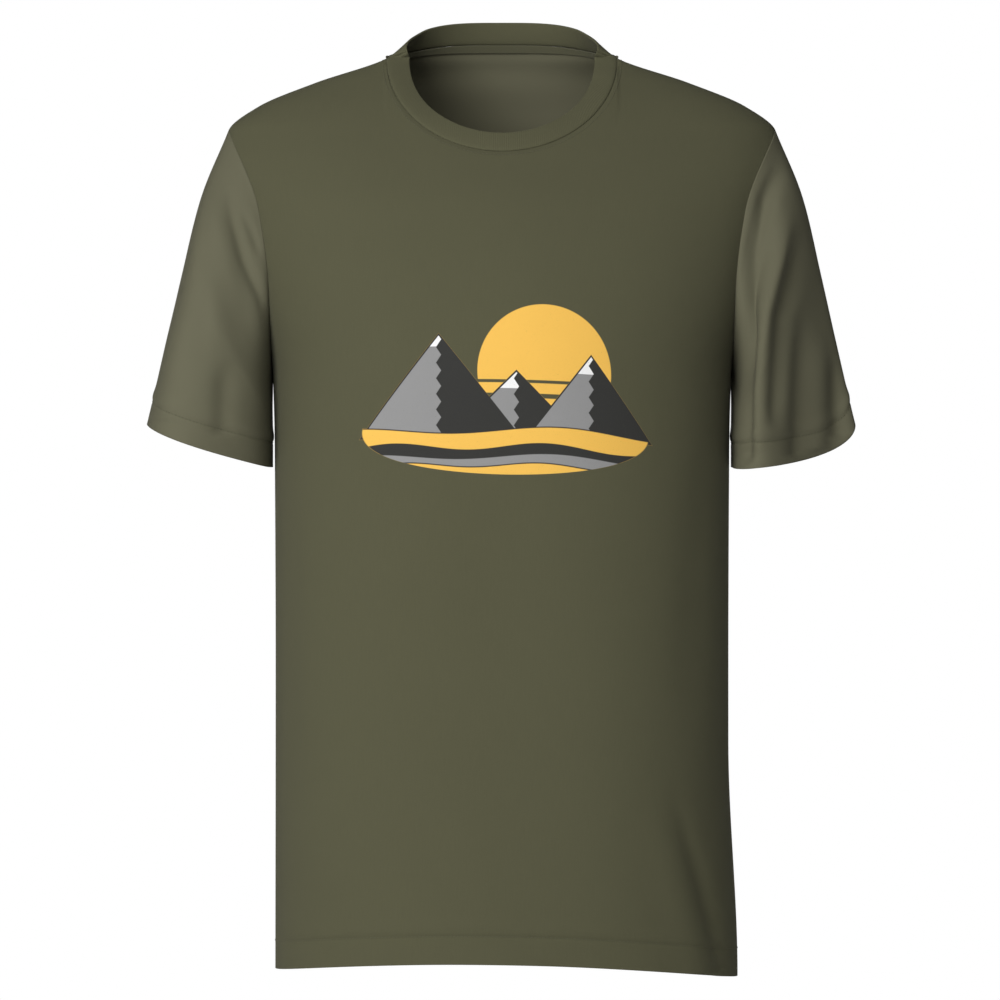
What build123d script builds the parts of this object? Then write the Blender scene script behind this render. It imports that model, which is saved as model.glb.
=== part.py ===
"""Short-sleeved crew-neck T-shirt, filled out as on a form, built from its cut and sewn pieces.

Millimetres, +Z up, front towards -Y, wearer's left towards +X.
The origin is the centre of the neck opening, level with the high points of the shoulders.
The cloth is one lofted skin, cut along its seam lines like pattern pieces.
"""

from build123d import *
import math
import os

os.makedirs("parts", exist_ok=True)

# Cloth
cloth = 1.1                # thickness of the jersey
ply_gap = 0.3              # air between two plies that lie on each other
seam_gap = 0.3             # clear width between two pieces at their seam
round_pull = 0.56          # how far an oval's curves lean on their corners: 0.55 is an ellipse
full_pull = 0.63           # the same for the squarer trunk

# Neck opening
neck_half_width = 91.0     # centre to the high point of the shoulder, at the collar seam
neck_front_reach = 70.0    # how far forward the collar seam comes
neck_void_back = 44.0      # how far back the opening is cut straight down
neck_back_rise = 12.0      # height of the collar seam at the middle of the back
rib_width = 16.5           # visible width of the collar rib
rib_extra = 0.55           # how far the rib stands proud of the jersey on each face
tape_width = 12.0          # width of the tape over the back neck seam

# Shoulders and armholes
shoulder_half_width = 216.0
shoulder_drop = 57.0
armhole_half_width = 182.0  # narrowest place between the armholes, half
armhole_narrow_drop = 190.0
armpit_half_width = 181.4
armpit_drop = 250.0

# Trunk, measured from the centre
chest_half_width = 180.0
chest_front = 127.0
chest_back = 127.0
chest_drop = 235.0
waist_drop = 480.0
waist_front = 119.0
waist_back = 118.0
hem_half_width = 179.0
hem_front = 116.0
hem_back = 113.0
body_length = 722.0        # shoulder to hem at the side seams
front_hem_lift = 17.0      # how much higher the hem hangs at the middle of the front
hem_depth = 25.0           # turned-up hem of the trunk

# Sleeves
sleeve_out = 279.0         # centre to the outer end of the sleeve hem
sleeve_out_drop = 288.0
sleeve_in = 185.5          # centre to the inner end of the sleeve hem
sleeve_in_drop = 322.0
sleeve_top_depth = 56.0    # half depth of the sleeve where it meets the armhole
sleeve_mid_depth = 76.0
sleeve_hem_depth_half = 72.0
sleeve_set_back = 3.0      # how far the sleeve's middle lies behind the shoulder line
sleeve_hem_fold = 20.0     # turned-up hem of a sleeve

# Side and shoulder seams
seam_set_back = 4.0        # how far they lie behind the middle
allowance = 7.0            # half width of the pressed-open seam inside

trunk_steps = 14           # rings up the trunk, closer together at the shoulders
sleeve_steps = 6           # sections down a sleeve
close_rings = 0.27         # share of even spacing in those rings
reach = 400.0              # half size of the blocks that cut pieces apart


def oval(half_width, middle, front, back, fullness):
    """A rounded oval of four curves, its front and back halves of different depth."""
    right, left = (half_width, middle), (-half_width, middle)
    rear, fore = (0, middle + back), (0, middle - front)
    pull = fullness * half_width
    with BuildLine() as outline:
        Bezier(right, (half_width, middle + fullness * back), (pull, middle + back), rear)
        Bezier(rear, (-pull, middle + back), (-half_width, middle + fullness * back), left)
        Bezier(left, (-half_width, middle - fullness * front), (-pull, middle - front), fore)
        Bezier(fore, (pull, middle - front), (half_width, middle - fullness * front), right)
    return outline.edges()


def smooth(stations, place):
    """Every value of a table at one place in its first column, eased from row to row without overshoot."""
    rows = sorted(stations)
    row = max(0, min(len(rows) - 2, sum(place >= station[0] for station in rows) - 1))
    start, end = rows[row], rows[row + 1]
    length = end[0] - start[0]
    share = (place - start[0]) / length
    values = []
    for column in range(1, len(start)):
        rise = (end[column] - start[column]) / length

        def slope_at(index):
            if not 0 < index < len(rows) - 1:
                return rise
            before, here, after = rows[index - 1], rows[index], rows[index + 1]
            first = (here[column] - before[column]) / (here[0] - before[0])
            second = (after[column] - here[column]) / (after[0] - here[0])
            return 2 * first * second / (first + second) if first * second > 0 else 0

        values.append(
            start[column] * (1 + 2 * share) * (1 - share) ** 2
            + end[column] * (3 - 2 * share) * share**2
            + slope_at(row) * length * share * (1 - share) ** 2
            - slope_at(row + 1) * length * (1 - share) * share**2
        )
    return values


def torso_rings():
    """Level rings of the trunk: height, half width, middle, front depth, back depth, fullness."""
    slope = shoulder_half_width - neck_half_width
    flank = shoulder_half_width - chest_half_width
    return [
        (neck_back_rise + 26, neck_half_width - 54, 42, 8, 12, round_pull),
        (neck_back_rise + 10, neck_half_width - 32, 27, 16, 30, round_pull),
        (neck_back_rise - 2, neck_half_width - 14, 10, 16, 51, round_pull),
        (0, neck_half_width, 0, 12, 65, round_pull),
        (-shoulder_drop * 0.34, neck_half_width + slope * 0.45, 0, 27, 73, round_pull),
        (-shoulder_drop * 0.67, neck_half_width + slope * 0.81, 0, 43, 82, round_pull),
        (-shoulder_drop, shoulder_half_width, 0, 57, 89, round_pull),
        (-shoulder_drop - 28, shoulder_half_width + 7, 0, 76, 99, 0.58),
        (-shoulder_drop - 66, chest_half_width + flank * 0.92, 0, 98, 112, 0.6),
        (-armhole_narrow_drop, chest_half_width + flank * 0.44, 0, chest_front - 6, chest_back - 4, full_pull),
        (-armpit_drop, chest_half_width + 1, 0, chest_front, chest_back, full_pull),
        (-armpit_drop - 60, chest_half_width - 0.6, 0, chest_front - 2, chest_back - 2, full_pull),
        (-waist_drop, (chest_half_width + hem_half_width) / 2 - 0.8, 0, waist_front, waist_back, full_pull),
        (-body_length - 30, hem_half_width, 0, hem_front, hem_back, full_pull),
    ]


def torso(inset):
    """The trunk as a solid of short lofted lengths, drawn in from the outside of the cloth by the inset."""
    rings = torso_rings()
    bottom, top = rings[-1][0], rings[0][0]
    with BuildPart() as trunk:
        for length in range(trunk_steps):
            for step in (length, length + 1):
                share = step / trunk_steps
                height = top - (top - bottom) * share * (close_rings + (1 - close_rings) * share)
                half_width, middle, front, back, fullness = smooth(rings, height)
                drop = inset * min(1, max(0, 1 + (height + shoulder_drop) / shoulder_drop))
                with BuildSketch(Plane.XY.offset(height - drop)):
                    make_face(oval(half_width - inset, middle, front - inset, back - inset, fullness))
            loft(ruled=True)
    return trunk.part


def sleeve_stations():
    """Stations down a sleeve: share, under point x and z, over point x and z, half depth."""
    under_run = sleeve_in_drop - armpit_drop
    over_run = sleeve_out_drop - shoulder_drop
    under_x = armpit_half_width + 0.8
    over_x = shoulder_half_width + 1
    under_step = sleeve_in - under_x
    over_step = sleeve_out - over_x
    stations = [(-0.25, under_x - 32, -armpit_drop + 17, over_x - 40, -shoulder_drop + 14, sleeve_top_depth)]
    for share, over_share, out_share, depth in (
        (0, 0, 0, sleeve_top_depth),
        (0.25, 0.22, 0.32, sleeve_top_depth * 0.4 + sleeve_mid_depth * 0.6),
        (0.5, 0.49, 0.56, sleeve_mid_depth),
        (0.75, 0.75, 0.78, sleeve_mid_depth),
        (1.0, 1.0, 1.0, sleeve_hem_depth_half),
        (1.25, 1.2, 1.2, sleeve_hem_depth_half),
    ):
        stations.append(
            (
                share,
                under_x + under_step * share,
                -armpit_drop - under_run * share,
                over_x + over_step * out_share,
                -shoulder_drop - over_run * over_share,
                depth,
            )
        )
    return stations


def sleeve_plane(under, over):
    """Plane of one sleeve section: across it runs from the under to the over point."""
    middle = Vector((under[0] + over[0]) / 2, sleeve_set_back, (under[1] + over[1]) / 2)
    across = Vector(over[0] - under[0], 0, over[1] - under[1]).normalized()
    return Plane(origin=middle, x_dir=across, z_dir=Vector(0, 1, 0).cross(across))


def sleeve(inset):
    """The wearer's left sleeve as a solid of short lofted lengths, drawn in by the inset."""
    stations = sleeve_stations()
    first, last = stations[0][0], stations[-1][0]
    with BuildPart() as tube:
        for length in range(sleeve_steps):
            for step in (length, length + 1):
                share = first + (last - first) * step / sleeve_steps
                under_x, under_z, over_x, over_z, depth = smooth(stations, share)
                half = math.dist((under_x, under_z), (over_x, over_z)) / 2
                with BuildSketch(sleeve_plane((under_x, under_z), (over_x, over_z))):
                    make_face(oval(half - inset, 0, depth - inset, depth - inset, round_pull))
            loft(ruled=True)
    return tube.part


def layer(outer, inner):
    """The hollow skin between two solids."""
    with BuildPart() as skin:
        add(outer)
        add(inner, mode=Mode.SUBTRACT)
    return skin.part


def between_armholes(grow):
    """Everything between the armhole seams as seen from the front, widened by grow."""
    narrow = armhole_half_width + grow
    low = armpit_half_width + grow
    with BuildPart() as block:
        with BuildSketch(Plane.XZ):
            with BuildLine():
                for side in (1, -1):
                    Line((0, reach), (side * (shoulder_half_width + grow), reach))
                    Line((side * (shoulder_half_width + grow), reach), (side * (shoulder_half_width + grow), -shoulder_drop))
                    Spline(
                        (side * (shoulder_half_width + grow), -shoulder_drop),
                        (side * (narrow + 8), -(shoulder_drop + armhole_narrow_drop) / 2),
                        (side * narrow, -armhole_narrow_drop),
                        (side * low, -armpit_drop),
                    )
                    Line((side * low, -armpit_drop), (side * low, -body_length - reach))
                    Line((side * low, -body_length - reach), (0, -body_length - reach))
            make_face()
        extrude(amount=reach, both=True)
    return block.part


def neck_void(half_width, front_reach, rise, side_height):
    """The space cut away for the neck: straight down in front, and above an arc at the back."""
    with BuildPart() as void:
        with BuildSketch(Plane.XY.offset(-shoulder_drop * 2)):
            make_face(oval(half_width, 0, front_reach, neck_void_back, round_pull))
        extrude(amount=reach)
        with BuildSketch(Plane.XZ):
            with BuildLine():
                ThreePointArc((-half_width, side_height), (0, rise), (half_width, side_height))
                Polyline(
                    (half_width, side_height),
                    (half_width + rib_width, side_height + rib_width),
                    (half_width + rib_width, reach),
                    (-half_width - rib_width, reach),
                    (-half_width - rib_width, side_height + rib_width),
                    (-half_width, side_height),
                )
            make_face()
        extrude(amount=reach, both=True)
    return void.part


def above_hem(lift):
    """Everything above the trunk's hem line, which hangs higher at the middle of the front."""
    low, high = -body_length + lift, -body_length + front_hem_lift + lift
    with BuildPart() as block:
        with BuildSketch(Plane.YZ):
            with BuildLine():
                Bezier((0, low), (-hem_front * 0.45, low), (-hem_front * 0.6, high), (-hem_front, high))
                Polyline(
                    (-hem_front, high), (-reach, high), (-reach, reach), (reach, reach), (reach, low), (0, low)
                )
            make_face()
        extrude(amount=reach, both=True)
    return block.part


def above_sleeve_hem(lift):
    """Everything above the left sleeve's hem plane, raised by lift along the sleeve."""
    across = Vector(sleeve_out - sleeve_in, 0, sleeve_in_drop - sleeve_out_drop).normalized()
    up = Vector(-across.Z, 0, across.X)
    foot = Vector(sleeve_in, 0, -sleeve_in_drop) + up * lift
    with BuildPart() as block:
        with BuildSketch(Plane(origin=foot, x_dir=across, z_dir=up)):
            Rectangle(reach * 2, reach * 2)
        extrude(amount=reach * 2)
    return block.part


def slab(x_range, y_range, z_range):
    """A plain block between given limits, for cutting."""
    (x0, x1), (y0, y1), (z0, z1) = x_range, y_range, z_range
    with BuildPart() as block:
        with BuildSketch(Plane.XY.offset(z0)):
            with Locations(((x0 + x1) / 2, (y0 + y1) / 2)):
                Rectangle(x1 - x0, y1 - y0)
        extrude(amount=z1 - z0)
    return block.part


def common(base, *keepers, less=()):
    """What a solid shares with every keeper, less the solids to take away."""
    with BuildPart() as piece:
        add(base)
        for keeper in keepers:
            add(keeper, mode=Mode.INTERSECT)
        for cutter in less:
            add(cutter, mode=Mode.SUBTRACT)
    return piece.part


def keep(piece, name):
    """Label a finished piece and write it out."""
    piece.label = name
    export_step(piece, f"parts/{name}.step")


# The jersey skin, and the lining layer that hems and seam allowances lie in
lining_outer = cloth + ply_gap
lining_inner = lining_outer + cloth
trunk_skin = layer(torso(0), torso(cloth))
trunk_lining = layer(torso(lining_outer), torso(lining_inner))
sleeve_skin = layer(sleeve(0), sleeve(cloth))
sleeve_lining = layer(sleeve(lining_outer), sleeve(lining_inner))

# Cutting blocks
trunk_block = between_armholes(0)
neck_hole = neck_void(neck_half_width, neck_front_reach, neck_back_rise, 0)
front_half = slab((-reach, reach), (-reach, seam_set_back - seam_gap / 2), (-body_length - reach, reach))
back_half = slab((-reach, reach), (seam_set_back + seam_gap / 2, reach), (-body_length - reach, reach))

# Front and back panels
trunk_shell = common(trunk_skin, trunk_block, above_hem(0), less=[neck_hole])
front_panel = common(trunk_shell, front_half)
back_panel = common(trunk_shell, back_half)
keep(front_panel, "front_panel")
keep(back_panel, "back_panel")

# Set-in sleeves
sleeve_left = common(sleeve_skin, above_sleeve_hem(0), less=[between_armholes(seam_gap)])
keep(sleeve_left, "sleeve_left")
keep(sleeve_left.mirror(Plane.YZ), "sleeve_right")

# Collar rib
rib_skin = layer(torso(-rib_extra), torso(cloth + rib_extra))
rib_room = neck_void(
    neck_half_width - seam_gap, neck_front_reach - seam_gap, neck_back_rise + seam_gap, seam_gap
)
rib_hole = neck_void(
    neck_half_width - rib_width, neck_front_reach - rib_width * 0.75, neck_back_rise + rib_width, rib_width / 2
)
keep(common(rib_skin, rib_room, less=[rib_hole]), "neck_rib")

# Tape over the back neck seam, from shoulder to shoulder
tape_room = neck_void(
    neck_half_width + tape_width, neck_front_reach, neck_back_rise - tape_width, -tape_width
)
behind_shoulder_seams = slab(
    (-reach, reach), (seam_set_back + allowance + seam_gap, reach), (-shoulder_drop, reach)
)
keep(common(trunk_lining, tape_room, behind_shoulder_seams, less=[neck_hole]), "neck_tape")

# Turned-up hems
keep(common(trunk_lining, trunk_block, above_hem(0), less=[above_hem(hem_depth)]), "trunk_hem")
sleeve_hem_left = common(
    sleeve_lining, above_sleeve_hem(0), less=[above_sleeve_hem(sleeve_hem_fold), trunk_block]
)
keep(sleeve_hem_left, "sleeve_hem_left")
keep(sleeve_hem_left.mirror(Plane.YZ), "sleeve_hem_right")

# Side seam allowances
seam_strip = (seam_set_back - allowance, seam_set_back + allowance)
side_run = slab((0, reach), seam_strip, (-body_length, -armpit_drop - seam_gap))
side_seam_left = common(trunk_lining, side_run, above_hem(hem_depth + seam_gap))
keep(side_seam_left, "side_seam_left")
keep(side_seam_left.mirror(Plane.YZ), "side_seam_right")

# Armhole seam allowances
above_armpit = slab((0, reach), (-reach, reach), (-armpit_drop, reach))
armhole_seam_left = common(trunk_lining, above_armpit, trunk_block, less=[between_armholes(-allowance)])
keep(armhole_seam_left, "armhole_seam_left")
keep(armhole_seam_left.mirror(Plane.YZ), "armhole_seam_right")

# Shoulder seam allowances
shoulder_run = slab(
    (neck_half_width + seam_gap, reach), seam_strip, (-shoulder_drop - allowance, reach)
)
shoulder_seam_left = common(trunk_lining, shoulder_run, between_armholes(-allowance - seam_gap))
keep(shoulder_seam_left, "shoulder_seam_left")
keep(shoulder_seam_left.mirror(Plane.YZ), "shoulder_seam_right")
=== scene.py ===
"""A short-sleeved crew-neck T-shirt, filled out as on a form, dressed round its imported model.

Metres, +Z up, front towards -Y, wearer's left towards +X, origin at the centre of the neck opening.
"""

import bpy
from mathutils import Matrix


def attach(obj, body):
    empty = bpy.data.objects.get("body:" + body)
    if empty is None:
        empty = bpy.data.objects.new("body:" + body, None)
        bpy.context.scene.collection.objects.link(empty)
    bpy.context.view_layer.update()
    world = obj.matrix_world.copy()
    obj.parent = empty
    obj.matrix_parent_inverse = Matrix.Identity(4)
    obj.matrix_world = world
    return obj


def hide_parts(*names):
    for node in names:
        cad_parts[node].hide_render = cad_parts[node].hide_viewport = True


bl_info = {
    "name": "Crew-neck T-shirt",
    "version": (1, 0, 0),
    "blender": (4, 5, 0),
    "location": "3D Viewport > Sidebar > T-shirt",
    "description": "Makes a filled-out T-shirt from cut and sewn pieces, with a chest print and a studio",
    "category": "Object",
}

import bmesh
import bpy
import numpy as np
from bpy.props import FloatProperty, FloatVectorProperty, PointerProperty

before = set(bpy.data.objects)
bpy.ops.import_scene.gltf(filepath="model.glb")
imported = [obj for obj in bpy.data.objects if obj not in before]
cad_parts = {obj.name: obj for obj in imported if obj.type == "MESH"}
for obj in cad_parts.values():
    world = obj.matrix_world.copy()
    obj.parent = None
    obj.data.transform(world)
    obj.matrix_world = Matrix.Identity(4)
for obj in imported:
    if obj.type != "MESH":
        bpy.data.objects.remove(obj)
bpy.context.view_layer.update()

MM = 0.001

# Main sizes of the trunk
NECK_HALF = 91 * MM
NECK_DROP = 77.5 * MM
NECK_RISE = 15 * MM
SHOULDER_HALF = 216 * MM
SHOULDER_DROP = 57 * MM
ARMPIT_DROP = 250 * MM
SIDE_HALF = 181 * MM
BODY_LENGTH = 721 * MM
FRONT_HEM_LIFT = 14 * MM
HEM_TILT = 3 * MM
HEM_FLARE = 7 * MM
FLARE_DROP = 540 * MM

# Level sections of the trunk from the collar down, in millimetres:
# height, half width, middle, front depth, back depth, power of the superellipse
TRUNK = np.array(
    [
        (38, 37, 42, 8, 12, 2.02),
        (22, 59, 27, 16, 30, 2.02),
        (10, 77, 10, 16, 51, 2.02),
        (0, 91, 0, 12, 65, 2.02),
        (-19.4, 147.3, 0, 27, 73, 2.02),
        (-38.2, 192.3, 0, 43, 82, 2.02),
        (-57, 216, 0, 57, 89, 2.02),
        (-85, 223, 0, 76, 99, 2.09),
        (-123, 213.1, 0, 98, 112, 2.15),
        (-190, 195.8, 0, 121, 123, 2.26),
        (-250, 181, 0, 127, 127, 2.26),
        (-310, 179.4, 0, 125, 125, 2.26),
        (-480, 178.7, 0, 119, 118, 2.26),
        (-752, 179, 0, 116, 113, 2.26),
    ]
) * (MM, MM, MM, MM, MM, 1)

# Armhole seam seen from the front: height and distance from the middle
ARMHOLE = np.array([(-57, 216), (-123.5, 190), (-190, 182), (-250, 181.4)]) * MM

# Sleeve: share of its length, under point x and z, over point x and z, half depth
SLEEVE_SET_BACK = 3 * MM
SLEEVE_LENGTH = 232 * MM
SLEEVE = np.array(
    [
        (0, 182.2, -250, 217, -57, 56),
        (0.25, 181.6, -268, 236.8, -107.8, 68),
        (0.5, 181.2, -286, 251.7, -170.2, 76),
        (0.75, 181, -304, 265.4, -230.2, 76),
        (1, 181, -323, 279, -288, 72),
        (1.25, 181, -342, 291.4, -334.2, 72),
    ]
) * (1, MM, MM, MM, MM, MM)
ARMHOLE_BLEND = 0.42
SLEEVE_HEM_SAG = {-1: 0.035, 1: 0.1}
SLEEVE_LEAN = {-1: -0.1, 1: 0.15}
SLEEVE_TWIST = {-1: -0.25, 1: 0.78}
SLEEVE_FLATNESS = 0.55
UNDER_SHARE = 0.32    # length of the sleeve underneath, as a share of its length on top

# Seams and hems
SEAM_INSET = 1.3 * MM
ALLOWANCE = 7 * MM
TURN_UP = 3 * MM      # how far a hem's fold reaches past its stitches
STITCH_PRESS = 0.5 * MM
STITCH_SPREAD = 1.6 * MM
PUFF_SPREAD = 5 * MM

# Free edge of the collar rib, at the sides, behind and in front
RIB_SIDE_RISE = 1 * MM
RIB_BACK_RISE = 33 * MM
RIB_FRONT_DROP = 62 * MM
RIB_BACK_DEPTH = 56 * MM
RIB_FRONT_DEPTH = 60 * MM
RIB_SIDE_HALF = 75.5 * MM
RIB_BACK_TAPER = 10 * MM

# Creases: route of (x, z) points in millimetres, half width, height, and how fast each end dies away
FRONT_CREASES = (
    (((128, -560), (150, -640), (170, -722)), 7, -2.6, 0.5, 0.05),
    (((112, -575), (133, -650), (150, -722)), 13, 2.2, 0.5, 0.05),
    (((-168, -300), (-166, -460), (-167, -640)), 11, -1.5, 0.4, 0.4),
    (((-60, -560), (-20, -650), (0, -722)), 40, 1.2, 0.5, 0.05),
    (((166, -270), (150, -400), (146, -560)), 16, -1.6, 0.4, 0.4),
)
BACK_CREASES = (
    (((-120, -150), (-100, -330), (-112, -560)), 26, 3.0, 0.4, 0.4),
    (((118, -150), (98, -350), (104, -580)), 26, 3.0, 0.4, 0.4),
    (((-40, -420), (-25, -560), (-30, -722)), 20, -2.2, 0.5, 0.05),
    (((52, -460), (40, -600), (48, -722)), 18, 2.0, 0.5, 0.05),
)
SLEEVE_CREASES = {
    -1: (
        (((217, -88), (210, -131), (201, -163), (188, -191), (183, -222)), 4.5, -2.4, 0.4, 0.3),
        (((228, -92), (222, -135), (212, -172), (199, -210)), 8, 2.0, 0.4, 0.4),
        (((206, -118), (195, -141), (187, -162)), 4, -1.4, 0.4, 0.3),
        (((234, -112), (233, -190), (236, -262)), 9, -2.2, 0.4, 0.4),
        (((214, -236), (217, -300)), 8, -2.4, 0.4, 0.05),
        (((252, -190), (262, -290)), 10, 1.6, 0.4, 0.05),
    ),
    1: (
        (((224, -76), (207, -112), (198, -150), (192, -200), (189, -260), (190, -325)), 7, -7.0, 0.2, 0.05),
        (((228, -118), (206, -203), (199, -264)), 6, 4.6, 0.35, 0.35),
        (((217, -112), (196, -196), (188, -262)), 5, -3.6, 0.35, 0.3),
        (((239, -124), (218, -208), (212, -300)), 7, -4.2, 0.35, 0.15),
        (((236, -190), (231, -318)), 7, -3.2, 0.4, 0.05),
        (((251, -205), (249, -312)), 8, 2.6, 0.4, 0.05),
        (((262, -228), (264, -300)), 6, -2.2, 0.4, 0.05),
    ),
}
BACK_SLEEVE_CREASES = (
    (((228, -110), (208, -196), (200, -270)), 9, -2.6, 0.4, 0.3),
    (((244, -150), (236, -300)), 10, 2.4, 0.4, 0.05),
)

ROUND = 2 * np.pi


def smooth_step(value):
    """Nought below 0, one above 1, and 3t^2 - 2t^3 between."""
    share = np.clip(value, 0, 1)
    return share * share * (3 - 2 * share)


def unit(vectors):
    """The same directions with length one."""
    return vectors / np.maximum(np.linalg.norm(vectors, axis=-1, keepdims=True), 1e-12)


def eased(table, places):
    """Every later column of a table at given places in its first.

    Cubic pieces, whose slope at a row is the harmonic mean of the two chords beside it,
    or nought where the chords turn, so nothing overshoots.
    """
    rows = table[np.argsort(table[:, 0])]
    knots, values = rows[:, 0], rows[:, 1:]
    steps = np.diff(knots)
    chords = np.diff(values, axis=0) / steps[:, None]
    product = chords[:-1] * chords[1:]
    total = np.where(product > 0, chords[:-1] + chords[1:], 1)
    middle = np.where(product > 0, 2 * product / total, 0)
    slopes = np.vstack([chords[:1], middle, chords[-1:]])
    places = np.asarray(places, float)
    row = np.clip(np.searchsorted(knots, places) - 1, 0, len(knots) - 2)
    run = steps[row][..., None]
    share = (places - knots[row])[..., None] / run
    return (
        values[row] * (1 + 2 * share) * (1 - share) ** 2
        + values[row + 1] * (3 - 2 * share) * share**2
        + slopes[row] * run * share * (1 - share) ** 2
        - slopes[row + 1] * run * (1 - share) * share**2
    )


def trunk_depth(x, z, facing):
    """How far back the trunk's cloth lies at a place seen from the front.

    A level section is a superellipse, |x/a|^n + |y/d|^n = 1, with one depth d for the front
    (facing -1) and another for the back (facing +1).
    """
    half, middle, front, back, power = np.moveaxis(eased(TRUNK, z), -1, 0)
    depth = np.where(np.asarray(facing) < 0, front, back)
    share = np.clip(np.abs(x) / half, 0, 1)
    return middle + facing * depth * (1 - share**power) ** (1 / power)


def half_span(z):
    """Half width of a panel at a height: the shoulder's above it, the armhole seam's, then the side's."""
    armhole = eased(ARMHOLE, np.clip(z, -ARMPIT_DROP, -SHOULDER_DROP))[..., 0]
    side = eased(TRUNK, z)[..., 0]
    return np.where(z > -ARMPIT_DROP, np.where(z > -SHOULDER_DROP, armhole, np.minimum(armhole, side)), side)


def shoulder_line(x):
    """Height of the shoulder seam at a distance from the middle, where the section's half width is |x|."""
    heights = np.linspace(0, -SHOULDER_DROP, 400)
    return np.interp(np.abs(x), eased(TRUNK, heights)[:, 0], heights)


def top_edge(x, facing):
    """Height of a panel's top edge.

    Between the neck points it is the collar seam: half an ellipse in front, a low cubic arc behind.
    Outside them it is the shoulder line.
    """
    out = np.clip(np.abs(x) / NECK_HALF, 0, 1)
    collar = np.where(np.asarray(facing) < 0, -NECK_DROP * np.sqrt(1 - out**2), NECK_RISE * (1 - out**3))
    return np.where(np.abs(x) < NECK_HALF, collar, shoulder_line(x))


def hem_edge(share, facing):
    """Height of the hem at a share of the half width: level behind, rising to the middle in front."""
    lift = np.where(np.asarray(facing) < 0, FRONT_HEM_LIFT, 0) * (1 - share**2) ** 0.8
    return -BODY_LENGTH + lift - HEM_TILT * share


def crease(x, z, route, width, height, start_fade, end_fade):
    """A long soft ridge, or a groove where the height is negative.

    Height times a bell curve of the distance from the route, dying away towards both ends of it.
    """
    points = np.array(route) * MM
    steps = np.diff(points, axis=0)
    lengths = np.linalg.norm(steps, axis=1)
    nearest = np.full(np.shape(x), np.inf)
    along = np.zeros(np.shape(x))
    for start, step, length, before in zip(points, steps, lengths, np.cumsum(lengths) - lengths):
        share = np.clip(((x - start[0]) * step[0] + (z - start[1]) * step[1]) / length**2, 0, 1)
        gap = np.hypot(x - start[0] - share * step[0], z - start[1] - share * step[1])
        along = np.where(gap < nearest, before + share * length, along)
        nearest = np.minimum(gap, nearest)
    place = along / lengths.sum()
    fade = smooth_step(place / start_fade) * smooth_step((1 - place) / end_fade)
    return height * MM * np.exp(-((nearest / (width * MM)) ** 2)) * fade


def creases(x, z, several):
    """All the creases of one side of a piece, added up."""
    return sum(crease(x, z, *each) for each in several)


def ripples(x, z, phase):
    """Slow unevenness of hanging cloth: three crossing waves, long in height and short in width."""
    waves = ((34, 5, 0.5), (21, -7, 0.6), (55, 11, 0.3))
    return sum(
        height * MM * np.sin(across * x + down * z + phase * (1 + number))
        for number, (across, down, height) in enumerate(waves)
    )


def pushed_out(points, amount, sign):
    """Points of a grid moved along its normals, which are the cross product of its two directions."""
    normals = sign * unit(np.cross(np.gradient(points, axis=0), np.gradient(points, axis=1)))
    return points + normals * np.asarray(amount)[..., None], normals


def shirt_sizes():
    """The sizes that the panel in the sidebar shows."""
    return bpy.context.scene.tshirt_sizes


def hem_relief(up, line, puff, puff_up):
    """Cloth pressed in at a stitch line and puffed above it: two bell curves of the height over the hem."""
    pressed = -STITCH_PRESS * np.exp(-(((up - line) / STITCH_SPREAD) ** 2))
    return pressed + puff * np.exp(-(((up - line - puff_up) / PUFF_SPREAD) ** 2))


def sleeve_reach(turn):
    """Length of the sleeve at a turn over its length on top, by the cosine from underneath to the top."""
    return UNDER_SHARE + (1 - UNDER_SHARE) * (1 - np.cos(np.pi * turn)) / 2


def trunk_cloth(share, z, facing, inset=0.0):
    """Points and normals of a trunk panel at shares of its half width and heights, with its creases.

    Creases fade out towards the shoulder, armhole and side seams, where two pieces meet.
    """
    x = share * half_span(z)
    points = np.stack([x, trunk_depth(x, z, facing), z], axis=-1)
    flared = smooth_step((-z - FLARE_DROP) / (BODY_LENGTH - FLARE_DROP))
    points[..., 0] += HEM_FLARE * np.clip(share, 0, 1) ** 2 * flared
    top = top_edge(share * SHOULDER_HALF, facing)
    fade = smooth_step((1 - np.abs(share)) * SIDE_HALF / (26 * MM)) * smooth_step((top - z) / (45 * MM))
    folds = creases(x, z, FRONT_CREASES if facing < 0 else BACK_CREASES) + ripples(x, z, 2.0 + facing)
    sizes = shirt_sizes()
    hem = hem_relief(z - hem_edge(share, facing), sizes.hem_depth, 0.9 * MM, 6 * MM)
    under_collar = np.abs(share) * SHOULDER_HALF < NECK_HALF
    groove = -0.7 * MM * np.exp(-((under_collar * (top - z) / (2.2 * MM)) ** 2)) * under_collar
    amount = sizes.crease_strength * folds * fade + hem * smooth_step((1 - np.abs(share)) * 12) + groove
    return pushed_out(points, amount - inset, facing)


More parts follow.
